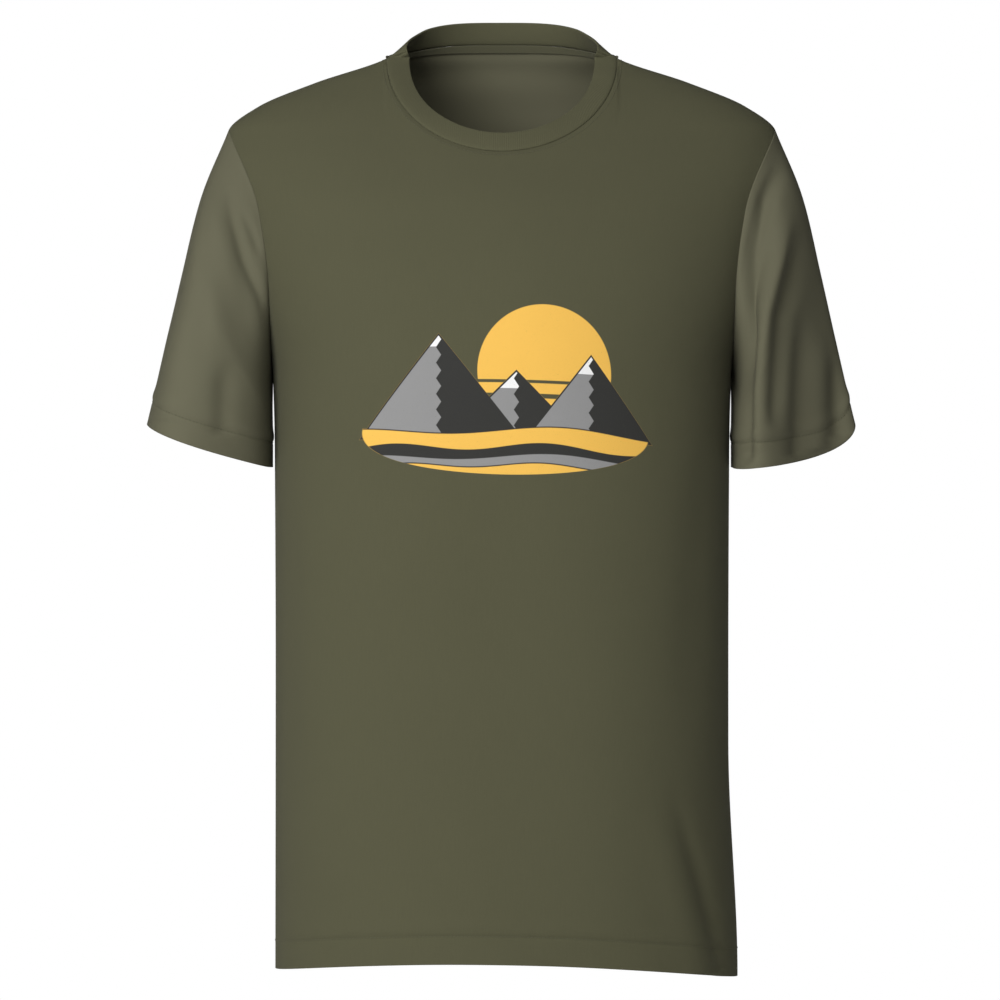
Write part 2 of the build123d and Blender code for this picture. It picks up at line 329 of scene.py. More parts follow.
def sleeve_cloth(turn, share, side, inset=0.0):
    """Points and normals of a sleeve: turn 0 to 2 runs from the armpit over the front and back again.

    The tube's section at a share of the length is an ellipse between an under and an over point. In front
    its sine has a power below one, which flattens it, and its turn has another, which leans it to one side.
    Near the armhole it is moved, by a share that fades out, so that its first row is the armhole seam.
    Away from the trunk the front's depth is scaled by one less the twist, on a smooth step.
    """
    lift = (1 - np.cos(np.pi * turn)) / 2
    forward = np.sin(np.pi * turn)

    def tube(at):
        under_x, under_z, over_x, over_z, depth = np.moveaxis(eased(SLEEVE, at), -1, 0)
        across = under_x + (over_x - under_x) * lift
        power = 1 - SLEEVE_LEAN[side] * smooth_step(at * 1.5)
        ahead = np.clip(np.sin(np.pi * np.clip(turn, 0, 1) ** power), 0, 1) ** SLEEVE_FLATNESS
        bulge = np.where(turn < 1, ahead, forward)
        height = under_z + (over_z - under_z) * lift
        return np.stack([across, SLEEVE_SET_BACK - depth * bulge, height], axis=-1)

    facing = np.where(forward >= 0, -1, 1)
    seam_z = -ARMPIT_DROP + (ARMPIT_DROP - SHOULDER_DROP) * lift
    seam_x = half_span(seam_z)
    seam = np.stack([seam_x, trunk_depth(seam_x, seam_z, facing), seam_z], axis=-1)
    reach = share * (1 + SLEEVE_HEM_SAG[side] * np.maximum(forward, 0))
    held = (1 - smooth_step(share / ARMHOLE_BLEND))[..., None]
    points = tube(reach) + (seam - tube(np.zeros_like(share))) * held
    x, z = points[..., 0], points[..., 2]
    ahead = smooth_step(forward * 3)
    outside = np.maximum(x - half_span(z) - 10 * MM, 0)
    turned_back = SLEEVE_TWIST[side] * smooth_step(outside / (84 * MM)) * smooth_step(share / ARMHOLE_BLEND)
    points[..., 1] -= (points[..., 1] - SLEEVE_SET_BACK) * turned_back * (forward > 0)
    behind = smooth_step(-forward * 3)
    folds = creases(x, z, SLEEVE_CREASES[side]) * ahead + creases(x, z, BACK_SLEEVE_CREASES) * behind
    folds = folds + ripples(x * 2, z * 2, 3.0 + side) * (ahead + behind) * 0.7
    sizes = shirt_sizes()
    hem_up = (1 - share) * SLEEVE_LENGTH * sleeve_reach(turn)
    hem = hem_relief(hem_up, sizes.sleeve_hem_depth, 0.8 * MM, 5 * MM)
    amount = sizes.crease_strength * folds * smooth_step(share / 0.07) + hem - inset
    points[..., 0] *= side
    return pushed_out(points, amount, -side)


def neck_ring(turn, grow, facing):
    """Points on the trunk round the neck opening, grown outwards over the cloth from the collar seam.

    Turn 0 is the middle of the back. x is the half width times its sine; the height falls with its
    cosine in front and rises with the cubic arc behind, from the shoulder line between.
    """
    half = NECK_HALF + grow
    base = shoulder_line(half)
    behind = np.where(np.cos(turn) > 0, 1 - np.abs(np.sin(turn)) ** 3, 0)
    x = half * np.sin(turn)
    z = base + (NECK_RISE - grow - base) * behind - (NECK_DROP + grow + base) * np.clip(-np.cos(turn), 0, 1)
    return np.stack([x, trunk_depth(x, z, facing), z], axis=-1)


def panel_columns():
    """Shares of the half width, closest together beside the neck points and at the side seams."""
    neck = NECK_HALF / SHOULDER_HALF
    inner = neck * np.sin(np.linspace(-np.pi / 2, np.pi / 2, 77))
    outer = neck + (1 - neck) * np.sin(np.linspace(0, np.pi / 2, 58)[1:])
    return np.concatenate([-outer[::-1], inner, outer])


def panel_rows():
    """Shares from the top edge to the hem, starting as a square where the shoulder curves over."""
    ease, hem_share = 0.08, 0.045
    even = np.linspace(0, 1, 176)
    body = even**2 / (even + ease) * (1 + ease) * (1 - hem_share)
    return np.concatenate([body, np.linspace(1 - hem_share, 1, 46)[1:]])


def metric_map(points, closed):
    """Flat coordinates in metres: a point's distance along its row from the middle, and up its column."""
    wide = np.concatenate([points, points[:1]]) if closed else points
    across = np.cumsum(np.linalg.norm(np.diff(wide, axis=0, prepend=wide[:1]), axis=-1), axis=0)
    down = np.cumsum(np.linalg.norm(np.diff(wide, axis=1, prepend=wide[:, :1]), axis=-1), axis=1)
    return np.stack([across - across[len(wide) // 2], down[:, -1:] - down], axis=-1)


def panel_map(points, share, z, facing):
    """Flat coordinates of a trunk panel in metres.

    Across is the length of the level section from the middle, summed over short chords.
    Up is the length of the column from the hem.
    """
    steps = np.linspace(0, 1, 25)
    x = share[..., None] * half_span(z)[..., None] * steps
    depth = trunk_depth(x, z[..., None] + np.zeros_like(x), facing)
    across = np.hypot(np.diff(x, axis=-1), np.diff(depth, axis=-1)).sum(axis=-1) * np.sign(share)
    return np.stack([across, metric_map(points, False)[..., 1]], axis=-1)


def surface(name, points, closed=False, turned=False, flat=None):
    """A mesh object over a grid of points, with one face between four neighbours and a metric UV map."""
    columns, rows = points.shape[:2]
    first = np.arange(columns if closed else columns - 1)[:, None]
    row = np.arange(rows - 1)[None, :]
    near, far = first * rows + row, (first + 1) * rows + row
    corners = np.stack([near, far, far + 1, near + 1], axis=-1).reshape(-1, 4)
    if turned:
        corners = corners[:, ::-1]
    flat = (metric_map(points, closed) if flat is None else flat).reshape(-1, 2)
    made = quads(name, points.reshape(-1, 3), corners % (columns * rows))
    made.data.uv_layers.new(name="cloth").data.foreach_set("uv", flat[corners.ravel()].ravel())
    return made


def quads(name, points, corners):
    """A smooth-shaded mesh object from points and four-cornered faces."""
    mesh = bpy.data.meshes.new(name)
    mesh.vertices.add(len(points))
    mesh.vertices.foreach_set("co", points.ravel())
    mesh.loops.add(corners.size)
    mesh.loops.foreach_set("vertex_index", corners.ravel().astype(np.int32))
    mesh.polygons.add(len(corners))
    mesh.polygons.foreach_set("loop_start", np.arange(0, corners.size, 4, dtype=np.int32))
    mesh.polygons.foreach_set("loop_total", np.full(len(corners), 4, dtype=np.int32))
    mesh.polygons.foreach_set("use_smooth", np.ones(len(corners), dtype=bool))
    mesh.update(calc_edges=True)
    mesh.validate()
    piece = bpy.data.objects.new(name, mesh)
    bpy.context.scene.collection.objects.link(piece)
    return piece


def thicken(piece, thickness):
    """Gives a sheet its thickness, inwards from the face it was made with."""
    wall = piece.modifiers.new("thickness", "SOLIDIFY")
    wall.thickness = thickness
    wall.offset = -1


def finish_piece(piece, material, slot, *nodes):
    """Material, body and the CAD nodes that a piece stands for. The slot argument is not used."""
    piece.data.materials.append(material)
    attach(piece, "root")
    if nodes:
        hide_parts(*nodes)


def strip(name, rows, material, slot, node, turned, closed=False):
    """A narrow band of cloth over a grid, with the thickness of the seam allowances."""
    piece = surface(name, rows, closed=closed, turned=turned)
    thicken(piece, bpy.context.scene.tshirt_sizes.allowance_thickness)
    finish_piece(piece, material, slot, node)
    return piece


def evenly(path, normals, pitch):
    """Places, directions and normals along a path, one pitch apart by length."""
    lengths = np.concatenate([[0], np.cumsum(np.linalg.norm(np.diff(path, axis=0), axis=1))])
    stops = np.arange(pitch / 2, lengths[-1], pitch)
    at = np.stack([np.interp(stops, lengths, path[:, axis]) for axis in range(3)], axis=-1)
    out = unit(np.stack([np.interp(stops, lengths, normals[:, axis]) for axis in range(3)], axis=-1))
    return at, unit(np.gradient(at, axis=0)), out


def stitch_row(path, normals):
    """Points and faces of a row of stitches: each a short thread of four square rings, its ends sunk.

    A ring at a share of the length has a half width that is full in the middle and narrow at the ends.
    """
    sizes = bpy.context.scene.tshirt_sizes
    at, forward, out = evenly(path, normals, sizes.stitch_pitch)
    sideways = np.cross(forward, out)
    ends = np.array([-1, -0.45, 0.45, 1])
    width = np.array([0.45, 1, 1, 0.45]) * sizes.thread / 2
    height = np.array([-0.9, 0.35, 0.35, -0.9]) * sizes.thread / 2
    corner = np.array([(1, 1), (-1, 1), (-1, -1), (1, -1)])
    length = np.repeat(ends * sizes.stitch_pitch * 0.42, 4)
    aside = (width[:, None] * corner[:, 0]).ravel()
    above = (height[:, None] + width[:, None] * corner[:, 1]).ravel()
    points = (
        at[:, None] + forward[:, None] * length[:, None]
        + sideways[:, None] * aside[:, None] + out[:, None] * above[:, None]
    )
    ring = np.arange(3)[:, None] * 4 + np.arange(4)
    turn = np.arange(3)[:, None] * 4 + (np.arange(4) + 1) % 4
    sides = np.stack([ring, ring + 4, turn + 4, turn], axis=-1).reshape(-1, 4)
    faces = np.concatenate([sides, [(0, 1, 2, 3), (15, 14, 13, 12)]])
    return points.reshape(-1, 3), (faces + np.arange(len(at))[:, None, None] * 16).reshape(-1, 4)


def stitching(name, rows, material):
    """One object that holds several rows of stitches, each row a path with its normals."""
    points, faces, count = [], [], 0
    for path, normals in rows:
        row_points, row_faces = stitch_row(path, normals)
        points.append(row_points)
        faces.append(row_faces + count)
        count += len(row_points)
    piece = quads(name, np.concatenate(points), np.concatenate(faces))
    finish_piece(piece, material, "overlock")
    return piece


def round_the_hem(up, inset=0.0):
    """A grid round the trunk's hem, front then back, at distances up from the hem line."""
    share = panel_columns()[:, None] * np.ones_like(up)
    front, front_out = trunk_cloth(share, hem_edge(share, -1) + up, -1, inset)
    back, back_out = trunk_cloth(share, hem_edge(share, 1) + up, 1, inset)
    return (
        np.concatenate([front, back[-2:0:-1]]),
        np.concatenate([front_out, back_out[-2:0:-1]]),
    )


class Value:
    """One number over the surface. Python's operators on it add Math nodes to its material."""

    def __init__(self, paint, socket):
        self.paint, self.socket = paint, socket

    def math(self, operation, *others, clamp=False):
        return self.paint.math(operation, self, *others, clamp=clamp)

    def __add__(self, other):
        return self.math("ADD", other)

    def __sub__(self, other):
        return self.math("SUBTRACT", other)

    def __rsub__(self, other):
        return self.paint.math("SUBTRACT", other, self)

    def __mul__(self, other):
        return self.math("MULTIPLY", other)

    def __truediv__(self, other):
        return self.math("DIVIDE", other)

    __radd__ = __add__
    __rmul__ = __mul__


class Paint:
    """A material in the making, whose nodes are all added by one method."""

    def __init__(self, name):
        self.material = bpy.data.materials.new(name)
        self.material.use_nodes = True
        self.tree = self.material.node_tree
        self.tree.nodes.clear()

    def node(self, kind, settings=None, inputs=None, output=0):
        made = self.tree.nodes.new(kind)
        for key, value in (settings or {}).items():
            setattr(made, key, value)
        for key, value in (inputs or {}).items():
            if isinstance(value, Value):
                self.tree.links.new(value.socket, made.inputs[key])
            else:
                made.inputs[key].default_value = value
        return Value(self, made.outputs[output]) if made.outputs else None

    def math(self, operation, *values, clamp=False):
        settings = {"operation": operation, "use_clamp": clamp}
        return self.node("ShaderNodeMath", settings, dict(enumerate(values)))

    def flat(self):
        """The piece's own UV map as two numbers, in metres."""
        uv = self.node("ShaderNodeUVMap", {"uv_map": "cloth"})
        across, up = (self.node("ShaderNodeSeparateXYZ", {}, {"Vector": uv}, output) for output in (0, 1))
        return across, up, uv

    def place(self):
        """The Object coordinates, in metres."""
        return self.node("ShaderNodeTexCoord", {}, {}, 3)

    def noise(self, where, scale, detail=2.0):
        return self.node(
            "ShaderNodeTexNoise", {"noise_dimensions": "3D"},
            {"Vector": where, "Scale": scale, "Detail": detail, "Roughness": 0.6},
        )

    def blend(self, factor, first, second):
        """One colour turning into another by a factor."""
        return self.node("ShaderNodeMix", {"data_type": "RGBA"}, {0: factor, 6: first, 7: second}, 2)

    def shaded(self, colour, brightness):
        """A colour made lighter or darker all over by a number."""
        return self.node(
            "ShaderNodeVectorMath", {"operation": "SCALE"},
            {0: colour if isinstance(colour, Value) else tuple(colour)[:3], "Scale": brightness},
        )

    def bump(self, height, depth):
        return self.node("ShaderNodeBump", {}, {"Height": height, "Distance": depth, "Strength": 1.0})

    def cloth(self, colour, roughness, normal, sheen, sheen_roughness):
        """Ends the material in one cloth shader."""
        shader = self.node(
            "ShaderNodeBsdfPrincipled", {},
            {
                "Base Color": colour,
                "Roughness": roughness,
                "Normal": normal,
                "Specular IOR Level": 0.12,
                "Sheen Weight": sheen,
                "Sheen Roughness": sheen_roughness,
            },
        )
        self.node("ShaderNodeOutputMaterial", {}, {"Surface": shader})
        return self.material


def rgba(colour):
    """A property's colour with full opacity."""
    return (*colour, 1.0)


def knit(paint, u, v, wale, course):
    """Height of plain jersey: columns of small leaning yarn legs.

    The distance from the middle of a column, folded, gives each leg its rounded section, and it
    shifts the rows of loops, so that the two legs of a column lean together like a V.
    """
    across = (u / wale).math("PINGPONG", 0.5) * 2
    leg = (across * np.pi).math("SINE")
    loops = ((v / course + across * 0.6) * ROUND).math("SINE") * 0.5 + 0.5
    return leg * 0.6 + loops * 0.4


def jersey(name, colour, wale, course, prints=None):
    """Cotton jersey: knitted relief, a fine melange and slow unevenness of the dye, and a soft nap. The
    colour is also darker in the hollows of the knit, which is painted shade.
    """
    paint = Paint(name)
    u, v, uv = paint.flat()
    where = paint.place()
    height = knit(paint, u, v, wale, course)
    fuzz = paint.noise(where, 900.0, 3.0)
    drawn_out = paint.node("ShaderNodeVectorMath", {"operation": "MULTIPLY"}, {0: uv, 1: (900.0, 60.0, 1.0)})
    slub = paint.node(
        "ShaderNodeTexNoise", {"noise_dimensions": "3D"}, {"Vector": drawn_out, "Scale": 1.0, "Detail": 2.0}
    )
    wide = paint.noise(where, 9.0, 2.0)
    # Painted shade: lighter on the raised knit and darker in its hollows, over random tone from the melange,
    # slub and dye.
    tone_and_relief_shade = 0.93 + height * 0.05 + (fuzz - 0.5) * 0.12 + (slub - 0.5) * 0.08 + (wide - 0.5) * 0.06
    base = paint.shaded(colour, tone_and_relief_shade)
    roughness = 0.86 + fuzz * 0.1
    relief = height + fuzz * 0.5
    if prints:
        base, inked = prints(paint, u, v, base)
        roughness = roughness - inked * 0.2
        relief = relief * (1 - inked * 0.45) + inked * 0.8
    return paint.cloth(base, roughness, paint.bump(relief, 0.00012), 0.03, 0.5)


def ribbing(name, colour, pitch):
    """One-by-one rib: rounded cords across the band, with small loops along each. The colour is darker
    between the cords, which is painted shade.
    """
    paint = Paint(name)
    u, v, _ = paint.flat()
    where = paint.place()
    cords = ((u / pitch) * ROUND).math("SINE") * 0.5 + 0.5
    loops = ((v / (pitch * 0.6)) * ROUND).math("SINE") * 0.5 + 0.5
    fuzz = paint.noise(where, 900.0, 3.0)
    wide = paint.noise(where, 12.0, 2.0)
    # Painted shade: darker between the cords, over random tone from the fuzz and slow noise.
    tone_and_relief_shade = 0.93 + cords * 0.06 + (fuzz - 0.5) * 0.1 + (wide - 0.5) * 0.05
    relief = cords + loops * 0.3 + fuzz * 0.4
    base = paint.shaded(colour, tone_and_relief_shade)
    return paint.cloth(base, 0.86 + fuzz * 0.1, paint.bump(relief, 0.00014), 0.03, 0.5)


def tape_cloth(name, colour, pitch):
    """Herringbone tape: slanting yarns that turn every few millimetres, with painted shade between them."""
    paint = Paint(name)
    u, v, _ = paint.flat()
    slant = (u / (pitch * 5)).math("PINGPONG", 0.5) * 3
    yarns = ((v / pitch + slant) * ROUND).math("SINE") * 0.5 + 0.5
    fuzz = paint.noise(paint.place(), 1100.0, 2.0)
    # Painted shade: darker between the yarns, over random tone from the fuzz.
    tone_and_relief_shade = 0.9 + yarns * 0.12 + (fuzz - 0.5) * 0.1
    return paint.cloth(paint.shaded(colour, tone_and_relief_shade), 0.85 + fuzz * 0.08, paint.bump(yarns, 0.0001), 0.08, 0.5)


def overlocked(name, colour, pitch):
    """Overlocked seam allowance: threads wound across the edge, with painted shade darkening the colour
    between them.
    """
    paint = Paint(name)
    u, v, _ = paint.flat()
    threads = (((u + v * 0.3) / pitch) * ROUND).math("SINE") * 0.5 + 0.5
    fuzz = paint.noise(paint.place(), 1100.0, 2.0)
    # Painted shade: darker between the threads, over random tone from the fuzz.
    tone_and_relief_shade = 0.82 + threads * 0.18 + (fuzz - 0.5) * 0.1
    return paint.cloth(paint.shaded(colour, tone_and_relief_shade), 0.8 + fuzz * 0.1, paint.bump(threads, 0.0002), 0.08, 0.5)


def spun_thread(name, colour):
    """Sewing thread: a fine twist, darker in its hollows as painted shade, and a slight gloss."""
    paint = Paint(name)
    twist = paint.noise(paint.place(), 2600.0, 1.0)
    # Painted shade: darker where the relief of the twist is low.
    base = paint.shaded(colour, 0.9 + twist * 0.2)
    return paint.cloth(base, 0.62 + twist * 0.1, paint.bump(twist, 0.00004), 0.05, 0.4)


def chest_print(paint, u, v, base):
    """A sun behind a range of peaks over striped ground, in flat inks. Returns colour and where ink lies.

    Every shape is a distance that is negative inside it, and its mask runs from 0 to 1 over half
    a millimetre. Later shapes lie over earlier ones.
    """
    inks = bpy.context.scene.tshirt_print
    yellow, dark, grey, white = (rgba(each) for each in (inks.yellow, inks.dark, inks.grey, inks.white))
    x = (u - inks.across) * (1 / MM)
    y = (v - inks.up) * (1 / MM)

    def within(distance, margin=0.0):
        return ((margin - distance) * 2.0 + 0.5).math("MULTIPLY", 1.0, clamp=True)

    def circle(centre_x, centre_y, radius):
        run, rise = x - centre_x, y - centre_y
        return (run * run + rise * rise).math("SQRT") - radius

    def peak(centre, top, slope):
        return y - (top - (x - centre).math("ABSOLUTE") * slope)

    def nearer(*distances):
        joined = distances[0]
        for distance in distances[1:]:
            joined = joined.math("MINIMUM", distance)
        return joined

    def shared(*distances):
        joined = distances[0]
        for distance in distances[1:]:
            joined = joined.math("MAXIMUM", distance)
        return joined

    ink, colour = within(circle(30, 12, 52)), yellow
    for height, half in ((4, 1.2), (-7, 1.8), (-18, 2.4)):
        ink = ink * (1 - within((y - height).math("ABSOLUTE") - half))

    zigzag = (y / 6).math("PINGPONG", 1.0) * 4
    ground_line = -34.0
    peaks = ((-52, 40, 1.25), (8, 12, 1.0), (66, 26, 1.3))
    for centre, top, slope in (peaks[1], peaks[0], peaks[2]):
        shape = shared(peak(centre, top, slope), ground_line - 4 - y)
        shade = within(centre - x - zigzag + 2)
        flank = paint.blend(shade, grey, dark)
        cap = within(top - 15 - y + zigzag * 1.5)
        flank = paint.blend(cap * (1 - shade), flank, white)
        flank = paint.blend(within(shape.math("ABSOLUTE") - 1.1), flank, dark)
        over = within(shape, 0.8)
        colour = paint.blend(over, colour, flank)
        ink = ink.math("MAXIMUM", over)

    lens = ((x / 113) * (x / 113) + ((y - ground_line) / 34) * ((y - ground_line) / 34) - 1) * 28
    for level, wave, length, paint_colour in (
        (-33, 3, 26, yellow), (-46, 3, 19, dark), (-53, 2.5, 23, grey), (-60, 2, 17, yellow),
    ):
        line = y - ((x / length).math("SINE") * wave + level)
        band = shared(line, lens)
        edged = paint.blend(within(line.math("ABSOLUTE") - 0.9), paint_colour, dark)
        over = within(band)
        colour = paint.blend(over, colour, edged)
        ink = ink.math("MAXIMUM", over)
    worn = (paint.noise(paint.place(), 2200.0, 2.0) - 0.22) * 9.0
    ink = ink * worn.math("MULTIPLY", 1.0, clamp=True)
    return paint.blend(ink, base, colour), ink


def length_property(label, about, default):
    """A length in metres, for a property group."""
    return FloatProperty(name=label, description=about, default=default, unit="LENGTH")


def power_property(label, about, default):
    """A lamp's power in watts, for a property group."""
    return FloatProperty(name=label, description=about, default=default, unit="POWER")


def colour_property(label, about, default):
    """A colour without opacity, for a property group."""
    return FloatVectorProperty(
        name=label, description=about, default=default, subtype="COLOR", size=3, min=0, max=1
    )


class ShirtSizes(bpy.types.PropertyGroup):
    """Sizes of the cloth, the collar, the hems and the stitching."""

    cloth_thickness: length_property("Cloth thickness", "Thickness of the jersey", 0.9 * MM)
    allowance_thickness: length_property("Allowance thickness", "Of seam allowances and tape", 0.7 * MM)
    rib_width: length_property("Rib width", "Visible width of the collar rib", 18 * MM)
    rib_thickness: length_property("Rib thickness", "Thickness of the doubled rib", 2.0 * MM)
    tape_width: length_property("Tape width", "Width of the tape inside the back neck", 6 * MM)
    hem_depth: length_property("Hem depth", "Height of the stitch line over the trunk's hem", 22 * MM)
    sleeve_hem_depth: length_property("Sleeve hem depth", "The same on the sleeves", 19 * MM)
    stitch_pitch: length_property("Stitch length", "Distance from stitch to stitch", 3 * MM)
    thread: length_property("Thread", "Thickness of the sewing thread", 0.5 * MM)
    wale: length_property("Wale", "Width of one column of knitted loops", 0.9 * MM)
    course: length_property("Course", "Height of one row of knitted loops", 0.7 * MM)
    crease_strength: FloatProperty(
        name="Creases", description="How deep the creases are", default=1.0, subtype="FACTOR"
    )


class ShirtColours(bpy.types.PropertyGroup):
    """Colours of the cloth and the thread."""

    cloth: colour_property("Cloth", "Colour of the jersey", (0.088, 0.086, 0.049))
    rib: colour_property("Rib", "Colour of the collar rib", (0.088, 0.086, 0.049))
    tape: colour_property("Tape", "Colour of the neck tape", (0.083, 0.081, 0.049))
    thread: colour_property("Thread", "Colour of the sewing thread", (0.092, 0.09, 0.056))


class ShirtPrint(bpy.types.PropertyGroup):
    """Place and inks of the chest print."""

    across: length_property("Across", "Middle of the print from the shirt's middle", 3 * MM)
    up: length_property("Up", "Middle of the print above the hem", 446 * MM)
    yellow: colour_property("Yellow", "Main ink", (0.80, 0.47, 0.09))
    dark: colour_property("Dark", "Ink of the outlines and shade", (0.032, 0.032, 0.03))
    grey: colour_property("Grey", "Ink of the lit slopes", (0.25, 0.25, 0.25))
    white: colour_property("White", "Ink of the peaks", (0.8, 0.8, 0.8))


class StudioSettings(bpy.types.PropertyGroup):
    """Light, floor and camera."""

    key_power: power_property("Key light", "Power of the large soft light", 84.0)
    key_angle: FloatProperty(
        name="Key angle", description="How far the key light stands to the viewer's left",
        default=np.radians(28), subtype="ANGLE",
    )
    fill_power: power_property("Left fill", "Power of the light at the left", 2.0)
    top_power: power_property("Top fill", "Power of the light above", 22.0)
    back_power: power_property("Back light", "Power of the light behind", 80.0)
    ambient: FloatProperty(name="Ambient", description="Strength of the light from all round", default=0.11)
    floor_drop: length_property("Floor", "Floor below the collar", 1.0)
    camera_distance: length_property("Camera distance", "From the shirt", 4.5)
    camera_drop: length_property("Camera drop", "Below the collar", 0.349)
    frame_width: length_property("Frame width", "Width that the camera sees", 0.79)


def cloth_material(name="jersey", prints=None):
    """The shirt's jersey, made once for each name."""
    sizes, colours = shirt_sizes(), bpy.context.scene.tshirt_colours
    return bpy.data.materials.get(name) or jersey(name, rgba(colours.cloth), sizes.wale, sizes.course, prints)


def overlock_material():
    """The overlocked edge of the seam allowances, made once."""
    colour = rgba(bpy.context.scene.tshirt_colours.thread)
    return bpy.data.materials.get("overlock") or overlocked("overlock", colour, 1.6 * MM)


def thread_material():
    """The sewing thread, made once."""
    colour = rgba(bpy.context.scene.tshirt_colours.thread)
    return bpy.data.materials.get("thread") or spun_thread("thread", colour)


class TSHIRT_OT_seams(bpy.types.Operator):
    """Overlocked seam allowances inside the sides, shoulders and armholes"""

    bl_idname = "tshirt.seams"
    bl_label = "Seams inside"

    def execute(self, context):
        overlock = overlock_material()
        across = np.linspace(-1, 1, 9)
        for side, word in ((1, "left"), (-1, "right")):
            self.side_seam(side, word, across, overlock)
            self.shoulder_seam(side, word, across, overlock)
            self.armhole_seam(side, word, overlock)
        return {"FINISHED"}

    def side_seam(self, side, word, across, overlock):
        """Straddles the side: x follows the section a few millimetres before and behind its widest point."""
        hem = shirt_sizes().hem_depth
        z = np.linspace(-ARMPIT_DROP - 8 * MM, -BODY_LENGTH + hem + 4 * MM, 130)[:, None] * np.ones(9)
        y = across * ALLOWANCE * np.ones_like(z)
        half, middle, front, back, power = np.moveaxis(eased(TRUNK, z), -1, 0)
        depth = np.where(y < 0, front, back)
        x = half * (1 - np.abs(y / depth) ** power) ** (1 / power) - SEAM_INSET
        rows = np.stack([x * side, middle + y, z], axis=-1)
        strip(f"side_allowance_{word}", rows, overlock, "overlock", f"side_seam_{word}", side < 0)

    def shoulder_seam(self, side, word, across, overlock):
        """Straddles the shoulder line: the height where the section is wide enough to reach each point."""
        x = np.linspace(NECK_HALF + 3 * MM, SHOULDER_HALF - ALLOWANCE, 60)[:, None] * np.ones(9)
        ridge = shoulder_line(x)
        half, middle, front, back, power = np.moveaxis(eased(TRUNK, ridge), -1, 0)
        y = across * ALLOWANCE * np.ones_like(x)
        depth = np.where(y < 0, front, back)
        needed = x / (1 - np.clip(np.abs(y / depth), 0, 0.9) ** power) ** (1 / power)
        rows = np.stack([x * side, middle + y, shoulder_line(needed) - SEAM_INSET], axis=-1)
        strip(f"shoulder_allowance_{word}", rows, overlock, "overlock", f"shoulder_seam_{word}", side < 0)

    def armhole_seam(self, side, word, overlock):
        """A band inside the armhole seam, its inner edge grown over the trunk by the allowance."""
        turn = np.linspace(0, 2, 160, endpoint=False)[:, None]
        grow = np.linspace(0, ALLOWANCE, 5)[None, :]
        lift = (1 - np.cos(np.pi * turn)) / 2
        low = -ARMPIT_DROP - grow
        z = low + (shoulder_line(SHOULDER_HALF - grow) - low) * lift
        x = half_span(z) - grow * smooth_step((z - low) / (40 * MM))
        facing = np.where(turn < 1, -1, 1) * np.ones_like(x)
        points = np.stack([x * side, trunk_depth(x, z, facing), z], axis=-1)
        inward = points * (-1, -1, 0) + (0, 0, -0.04)
        points = points + unit(inward) * SEAM_INSET
        name, node = f"armhole_allowance_{word}", f"armhole_seam_{word}"
        strip(name, points, overlock, "overlock", node, side > 0, closed=True)


class TSHIRT_OT_hems(bpy.types.Operator):
    """Turned-up hems inside the trunk and the sleeves"""

    bl_idname = "tshirt.hems"
    bl_label = "Hems"

    def execute(self, context):
        sizes = shirt_sizes()
        cloth = cloth_material()
        up = np.linspace(sizes.hem_depth + TURN_UP, 0.4 * MM, 22)[None, :]
        rows, _ = round_the_hem(up, SEAM_INSET)
        hem = surface("trunk_hem_fold", rows, closed=True)
        thicken(hem, sizes.cloth_thickness)
        finish_piece(hem, cloth, "jersey", "trunk_hem")
        for side, word in ((1, "left"), (-1, "right")):
            turn = np.linspace(0, 2, 150, endpoint=False)[:, None]
            folded = (sizes.sleeve_hem_depth + TURN_UP) / SLEEVE_LENGTH
            share = 1 - np.linspace(folded, 0.002, 14)[None, :] / sleeve_reach(turn)
            rows, _ = sleeve_cloth(turn * np.ones_like(share), share, side, SEAM_INSET)
            hem = surface(f"sleeve_hem_fold_{word}", rows, closed=True, turned=side > 0)
            thicken(hem, sizes.cloth_thickness)
            finish_piece(hem, cloth, "jersey", f"sleeve_hem_{word}")
        return {"FINISHED"}


class TSHIRT_OT_stitching(bpy.types.Operator):
    """Rows of stitches at the hems and beside the collar"""

    bl_idname = "tshirt.stitching"
    bl_label = "Stitching"

    def execute(self, context):
        sizes = shirt_sizes()
        thread = thread_material()
        beside = np.array([[0.5, 0, -0.5]]) * MM
        rows, normals = round_the_hem(sizes.hem_depth + beside)
        stitching("trunk_hem_stitches", [(rows[:, 1], normals[:, 1])], thread)
        for side, word in ((1, "left"), (-1, "right")):
            turn = np.linspace(0.01, 2.01, 400)[:, None]
            reach = (sizes.sleeve_hem_depth + beside) / SLEEVE_LENGTH
            share = 1 - reach / sleeve_reach(turn)
            rows, normals = sleeve_cloth(turn * np.ones_like(share), share, side)
            stitching(f"sleeve_hem_stitches_{word}", [(rows[:, 1], normals[:, 1])], thread)
        turn = np.linspace(0, ROUND, 500)[:, None]
        facing = np.where(np.cos(turn) > 0, 1, -1) * np.ones((1, 3))
        grown = neck_ring(turn, 3.2 * MM + beside, facing)
        _, normals = pushed_out(grown, np.zeros(grown.shape[:2]), 1)
        outward = np.sign(np.sum(normals * (grown - (0, 0, -0.2)), axis=-1, keepdims=True))
        stitching("collar_stitches", [(grown[:, 1], (normals * outward)[:, 1])], thread)
        return {"FINISHED"}


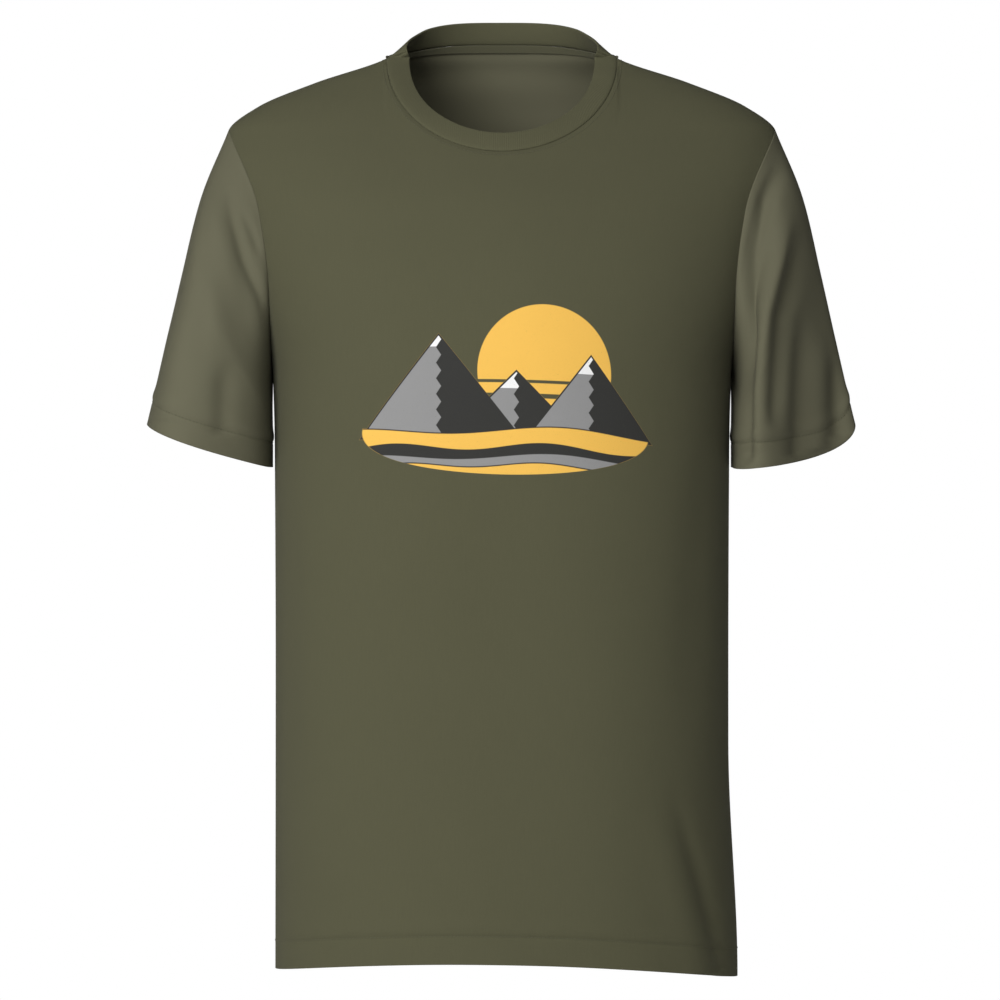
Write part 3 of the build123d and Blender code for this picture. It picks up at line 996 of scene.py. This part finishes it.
class TSHIRT_OT_collar(bpy.types.Operator):
    """Rib collar and the tape over the back neck seam"""

    bl_idname = "tshirt.collar"
    bl_label = "Collar"

    def execute(self, context):
        sizes, colours = shirt_sizes(), context.scene.tshirt_colours
        self.rib(sizes, rgba(colours.rib))
        turn = np.linspace(-np.pi / 2, np.pi / 2, 120)[:, None] * 0.94
        grown = neck_ring(turn, np.linspace(-0.4 * MM, sizes.tape_width, 9)[None, :], 1)
        tape, _ = pushed_out(grown, np.full(grown.shape[:2], -SEAM_INSET - 0.5 * MM), 1)
        herringbone = tape_cloth("tape", rgba(colours.tape), 1.1 * MM)
        strip("back_neck_tape", tape, herringbone, "tape", "neck_tape", False)
        return {"FINISHED"}

    def rib(self, sizes, colour):
        """A flat loop of cloth carried round the neck, from the collar seam towards the free edge.

        The free edge is narrower than the seam and higher. The band's section is two faces, slightly
        crowned, joined by a half circle at the free edge.
        """
        turn = np.linspace(0, ROUND, 320, endpoint=False)[:, None]
        facing = np.where(np.cos(turn) > 0, 1, -1)
        seam = neck_ring(turn, np.zeros((1, 1)), facing)
        behind, ahead = np.clip(np.cos(turn), 0, 1), np.clip(-np.cos(turn), 0, 1)
        free_z = RIB_SIDE_RISE + RIB_BACK_RISE * (1 - (1 - behind) ** 1.6) - RIB_FRONT_DROP * ahead
        free_y = RIB_BACK_DEPTH * behind - RIB_FRONT_DEPTH * ahead
        free_half = RIB_SIDE_HALF - RIB_BACK_TAPER * (1 - (1 - behind) ** 2)
        free = np.stack([free_half * np.sin(turn), free_y, free_z], axis=-1)
        rise = unit(free - seam)
        tangent = unit(np.roll(seam, -1, axis=0) - np.roll(seam, 1, axis=0))
        rise = unit(rise - tangent * np.sum(rise * tangent, axis=-1, keepdims=True))
        outward = unit(np.cross(rise, tangent))
        outward = outward * np.sign(np.sum(outward * (seam - (0, 0, -0.3)), axis=-1, keepdims=True))
        half = sizes.rib_thickness / 2
        along = np.linspace(0, 1, 12)
        nose = np.linspace(np.pi / 2, -np.pi / 2, 9)[1:-1]
        straight = sizes.rib_width - half
        crown = 0.4 * MM * np.sin(np.pi * along) - 0.7 * half * (1 - smooth_step(along / 0.14))
        up = np.concatenate([along * straight, straight + half * np.cos(nose), along[::-1] * straight])
        out = np.concatenate([half + crown, half * np.sin(nose), -half - crown[::-1]])
        out = out - sizes.cloth_thickness / 2
        points = seam + rise * up[:, None] + outward * out[:, None]
        rib = surface("collar_rib", points, closed=True)
        self.close_section(rib, points.shape[0], points.shape[1])
        finish_piece(rib, ribbing("rib", colour, 1.7 * MM), "rib", "neck_rib")

    def close_section(self, rib, columns, rows):
        """Joins the two faces of the band at the collar seam, where the section is still open."""
        mesh = bmesh.new()
        mesh.from_mesh(rib.data)
        mesh.verts.ensure_lookup_table()
        uv = mesh.loops.layers.uv["cloth"]
        for column in range(columns):
            after = (column + 1) % columns
            ends = (column * rows, column * rows + rows - 1, after * rows + rows - 1, after * rows)
            face = mesh.faces.new([mesh.verts[index] for index in ends])
            face.smooth = True
            for loop in face.loops:
                loop[uv].uv = loop.link_loops[0][uv].uv if loop.link_loops else (0, 0)
        bmesh.ops.recalc_face_normals(mesh, faces=mesh.faces)
        mesh.to_mesh(rib.data)
        mesh.free()


class TSHIRT_OT_sleeves(bpy.types.Operator):
    """The two set-in sleeves"""

    bl_idname = "tshirt.sleeves"
    bl_label = "Sleeves"

    def execute(self, context):
        sizes = shirt_sizes()
        for side, word in ((1, "left"), (-1, "right")):
            turn = np.linspace(0, 2, 160, endpoint=False)[:, None] * np.ones((1, 130))
            share = np.linspace(0, 1, 130)[None, :] * np.ones((160, 1))
            rows, _ = sleeve_cloth(turn, share, side)
            sleeve = surface(f"sleeve_{word}_cloth", rows, closed=True, turned=side > 0)
            thicken(sleeve, sizes.cloth_thickness)
            finish_piece(sleeve, cloth_material(), "jersey", f"sleeve_{word}")
        return {"FINISHED"}


class TSHIRT_OT_panels(bpy.types.Operator):
    """The front panel with its print, and the back panel"""

    bl_idname = "tshirt.panels"
    bl_label = "Front and back"

    def execute(self, context):
        self.panel("front", -1, (0.51, 0.75), 0.33, cloth_material("printed_jersey", chest_print))
        self.panel("back", 1, (0.51, 0.77), 0.35, cloth_material())
        return {"FINISHED"}

    def panel(self, word, facing, flat, area, material):
        """Rows of a panel lie between its top edge and its hem, columns at shares of its half width."""
        share, down = np.meshgrid(panel_columns(), panel_rows(), indexing="ij")
        top = top_edge(share * SHOULDER_HALF, facing)
        z = top + (hem_edge(share, facing) - top) * down
        rows, _ = trunk_cloth(share, z, facing)
        flat_map = panel_map(rows, share, z, facing)
        panel = surface(f"{word}_panel_cloth", rows, turned=facing < 0, flat=flat_map)
        thicken(panel, shirt_sizes().cloth_thickness)
        finish_piece(panel, material, "jersey", f"{word}_panel")


class TSHIRT_OT_studio(bpy.types.Operator):
    """Pale floor, soft light and the camera"""

    bl_idname = "tshirt.studio"
    bl_label = "Studio"

    def execute(self, context):
        studio = context.scene.tshirt_studio
        self.floor(studio)
        self.sky(context.scene, studio)
        angle = studio.key_angle
        self.lamp("key", (-3.0 * np.sin(angle), -3.0 * np.cos(angle), 0.45), 1.7, studio.key_power)
        self.lamp("left_fill", (-3.3, -0.6, 0.2), 1.8, studio.fill_power)
        self.lamp("top_fill", (0.3, -2.4, 1.5), 1.6, studio.top_power)
        self.lamp("back_light", (0, 3.4, 0.2), 1.8, studio.back_power)
        camera = bpy.data.objects.new("camera", bpy.data.cameras.new("camera"))
        context.scene.collection.objects.link(camera)
        camera.location = (-1.6 * MM, -studio.camera_distance, -studio.camera_drop)
        camera.rotation_euler = (np.pi / 2, 0, 0)
        camera.data.sensor_width = 36
        camera.data.lens = camera.data.sensor_width * studio.camera_distance / studio.frame_width
        camera.data.clip_end = 100
        context.scene.camera = camera
        context.scene.view_settings.view_transform = "Standard"
        return {"FINISHED"}

    def floor(self, studio):
        """A round floor: circles about the middle, joined round, the innermost almost a point."""
        turn = np.linspace(0, ROUND, 96, endpoint=False)[:, None]
        out = np.linspace(0.001, 1, 30)[None, :] ** 1.4 * 1.9
        level = np.full_like(turn * out, -studio.floor_drop)
        rings = np.stack([out * np.cos(turn), out * np.sin(turn), level], axis=-1)
        floor = surface("floor", rings, closed=True, turned=True)
        paint = Paint("pale_floor")
        cloudy = paint.noise(paint.place(), 3.0, 3.0)
        colour = paint.shaded((0.86, 0.86, 0.85), 0.97 + cloudy * 0.04)
        grain = paint.bump(paint.noise(paint.place(), 240.0, 2.0), 0.0002)
        floor.data.materials.append(paint.cloth(colour, 0.8 + cloudy * 0.1, grain, 0.0, 0.5))

    def sky(self, scene, studio):
        """White behind the shirt, and an even ambient light on it."""
        world = bpy.data.worlds.new("studio")
        scene.world = world
        world.use_nodes = True
        nodes, links = world.node_tree.nodes, world.node_tree.links
        nodes.clear()
        seen, felt = nodes.new("ShaderNodeBackground"), nodes.new("ShaderNodeBackground")
        seen.inputs["Color"].default_value = (1, 1, 1, 1)
        felt.inputs["Color"].default_value = (1, 1, 1, 1)
        felt.inputs["Strength"].default_value = studio.ambient
        either, path = nodes.new("ShaderNodeMixShader"), nodes.new("ShaderNodeLightPath")
        out = nodes.new("ShaderNodeOutputWorld")
        links.new(path.outputs["Is Camera Ray"], either.inputs[0])
        links.new(felt.outputs[0], either.inputs[1])
        links.new(seen.outputs[0], either.inputs[2])
        links.new(either.outputs[0], out.inputs["Surface"])

    def lamp(self, name, place, size, power):
        """A square soft light that looks at the middle of the shirt."""
        light = bpy.data.lights.new(name, "AREA")
        light.size, light.energy = size, power
        lamp = bpy.data.objects.new(name, light)
        bpy.context.scene.collection.objects.link(lamp)
        lamp.location = place
        toward = np.array([0, 0, -0.36]) - np.array(place)
        flat = np.hypot(toward[0], toward[1])
        lamp.rotation_euler = (np.arctan2(flat, -toward[2]), 0, np.arctan2(-toward[0], toward[1]))


class TSHIRT_PT_panel(bpy.types.Panel):
    """Lists the shirt's sizes and colours and the operators that make it"""

    bl_label = "T-shirt"
    bl_idname = "TSHIRT_PT_panel"
    bl_space_type = "VIEW_3D"
    bl_region_type = "UI"
    bl_category = "T-shirt"

    def draw(self, context):
        scene = context.scene
        for group in (scene.tshirt_sizes, scene.tshirt_colours, scene.tshirt_print, scene.tshirt_studio):
            box = self.layout.box()
            for name in group.__annotations__:
                box.prop(group, name)
        for operator in OPERATORS:
            self.layout.operator(operator.bl_idname)


OPERATORS = (
    TSHIRT_OT_seams, TSHIRT_OT_hems, TSHIRT_OT_stitching, TSHIRT_OT_collar,
    TSHIRT_OT_sleeves, TSHIRT_OT_panels, TSHIRT_OT_studio,
)
GROUPS = {
    "tshirt_sizes": ShirtSizes, "tshirt_colours": ShirtColours,
    "tshirt_print": ShirtPrint, "tshirt_studio": StudioSettings,
}


def register():
    """Adds the property groups, the operators and the panel to Blender."""
    for name, group in GROUPS.items():
        bpy.utils.register_class(group)
        setattr(bpy.types.Scene, name, PointerProperty(type=group))
    for kind in (*OPERATORS, TSHIRT_PT_panel):
        bpy.utils.register_class(kind)


def unregister():
    """Takes them all out again, in the opposite order."""
    for kind in (TSHIRT_PT_panel, *reversed(OPERATORS)):
        bpy.utils.unregister_class(kind)
    for name, group in reversed(GROUPS.items()):
        delattr(bpy.types.Scene, name)
        bpy.utils.unregister_class(group)


def main():
    """Makes the shirt and its studio."""
    register()
    bpy.ops.tshirt.seams()
    bpy.ops.tshirt.hems()
    bpy.ops.tshirt.stitching()
    bpy.ops.tshirt.collar()
    bpy.ops.tshirt.sleeves()
    bpy.ops.tshirt.panels()
    bpy.ops.tshirt.studio()


if __name__ == "__main__":
    main()
